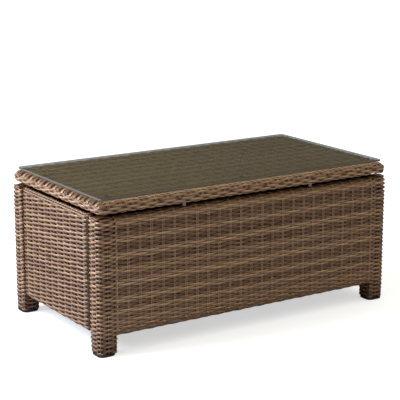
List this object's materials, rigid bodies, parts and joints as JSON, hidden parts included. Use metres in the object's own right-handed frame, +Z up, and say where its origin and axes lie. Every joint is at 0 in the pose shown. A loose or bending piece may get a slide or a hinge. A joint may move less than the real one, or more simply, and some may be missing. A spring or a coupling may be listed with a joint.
{
  "type": "wicker coffee table",
  "caption": "Low rectangular garden coffee table of woven resin on a metal frame, with closed woven sides, a woven lid and a clear glass top.",
  "frame": {"origin": "on the ground under the middle of the table", "axes": "+X along the table's length, towards its right end; +Y across it, from front to back; +Z up"},
  "size_m": [1.044, 0.551, 0.4581],
  "materials": {
    "woven_resin": "satin",
    "coated_aluminium": "satin",
    "zinc_steel": "satin",
    "pale_nylon": "satin",
    "black_plastic": "satin",
    "clear_vinyl": "gloss",
    "tempered_glass": "gloss"
  },
  "bodies": {
    "root": {"back_bottom_rail": "coated_aluminium", "back_left_leg": "coated_aluminium", "back_left_leg_weave": "woven_resin", "back_right_leg": "coated_aluminium", "back_right_leg_weave": "woven_resin", "back_top_rail": "coated_aluminium", "back_weave": "woven_resin", "end_bolt_back_left_high": "zinc_steel", "end_bolt_back_left_low": "zinc_steel", "end_bolt_back_right_high": "zinc_steel", "end_bolt_back_right_low": "zinc_steel", "end_bolt_front_left_high": "zinc_steel", "end_bolt_front_left_low": "zinc_steel", "end_bolt_front_right_high": "zinc_steel", "end_bolt_front_right_low": "zinc_steel", "foot_back_left": "black_plastic", "foot_back_right": "black_plastic", "foot_front_left": "black_plastic", "foot_front_right": "black_plastic", "front_bottom_rail": "coated_aluminium", "front_left_leg": "coated_aluminium", "front_left_leg_weave": "woven_resin", "front_right_leg": "coated_aluminium", "front_right_leg_weave": "woven_resin", "front_top_rail": "coated_aluminium", "front_weave": "woven_resin", "glass_bumper_back_left": "clear_vinyl", "glass_bumper_back_middle": "clear_vinyl", "glass_bumper_back_right": "clear_vinyl", "glass_bumper_front_left": "clear_vinyl", "glass_bumper_front_middle": "clear_vinyl", "glass_bumper_front_right": "clear_vinyl", "glass_top": "tempered_glass", "left_end_back_stile": "coated_aluminium", "left_end_bottom_rail": "coated_aluminium", "left_end_front_stile": "coated_aluminium", "left_end_top_rail": "coated_aluminium", "left_end_weave": "woven_resin", "lid_back_tube": "coated_aluminium", "lid_bolt_back_left": "zinc_steel", "lid_bolt_back_right": "zinc_steel", "lid_bolt_front_left": "zinc_steel", "lid_bolt_front_right": "zinc_steel", "lid_front_tube": "coated_aluminium", "lid_left_crossbar": "coated_aluminium", "lid_left_tube": "coated_aluminium", "lid_right_crossbar": "coated_aluminium", "lid_right_tube": "coated_aluminium", "lid_spacer_back_left": "pale_nylon", "lid_spacer_back_right": "pale_nylon", "lid_spacer_front_left": "pale_nylon", "lid_spacer_front_right": "pale_nylon", "lid_weave": "woven_resin", "right_end_back_stile": "coated_aluminium", "right_end_bottom_rail": "coated_aluminium", "right_end_front_stile": "coated_aluminium", "right_end_top_rail": "coated_aluminium", "right_end_weave": "woven_resin"}
  },
  "joints": []
}
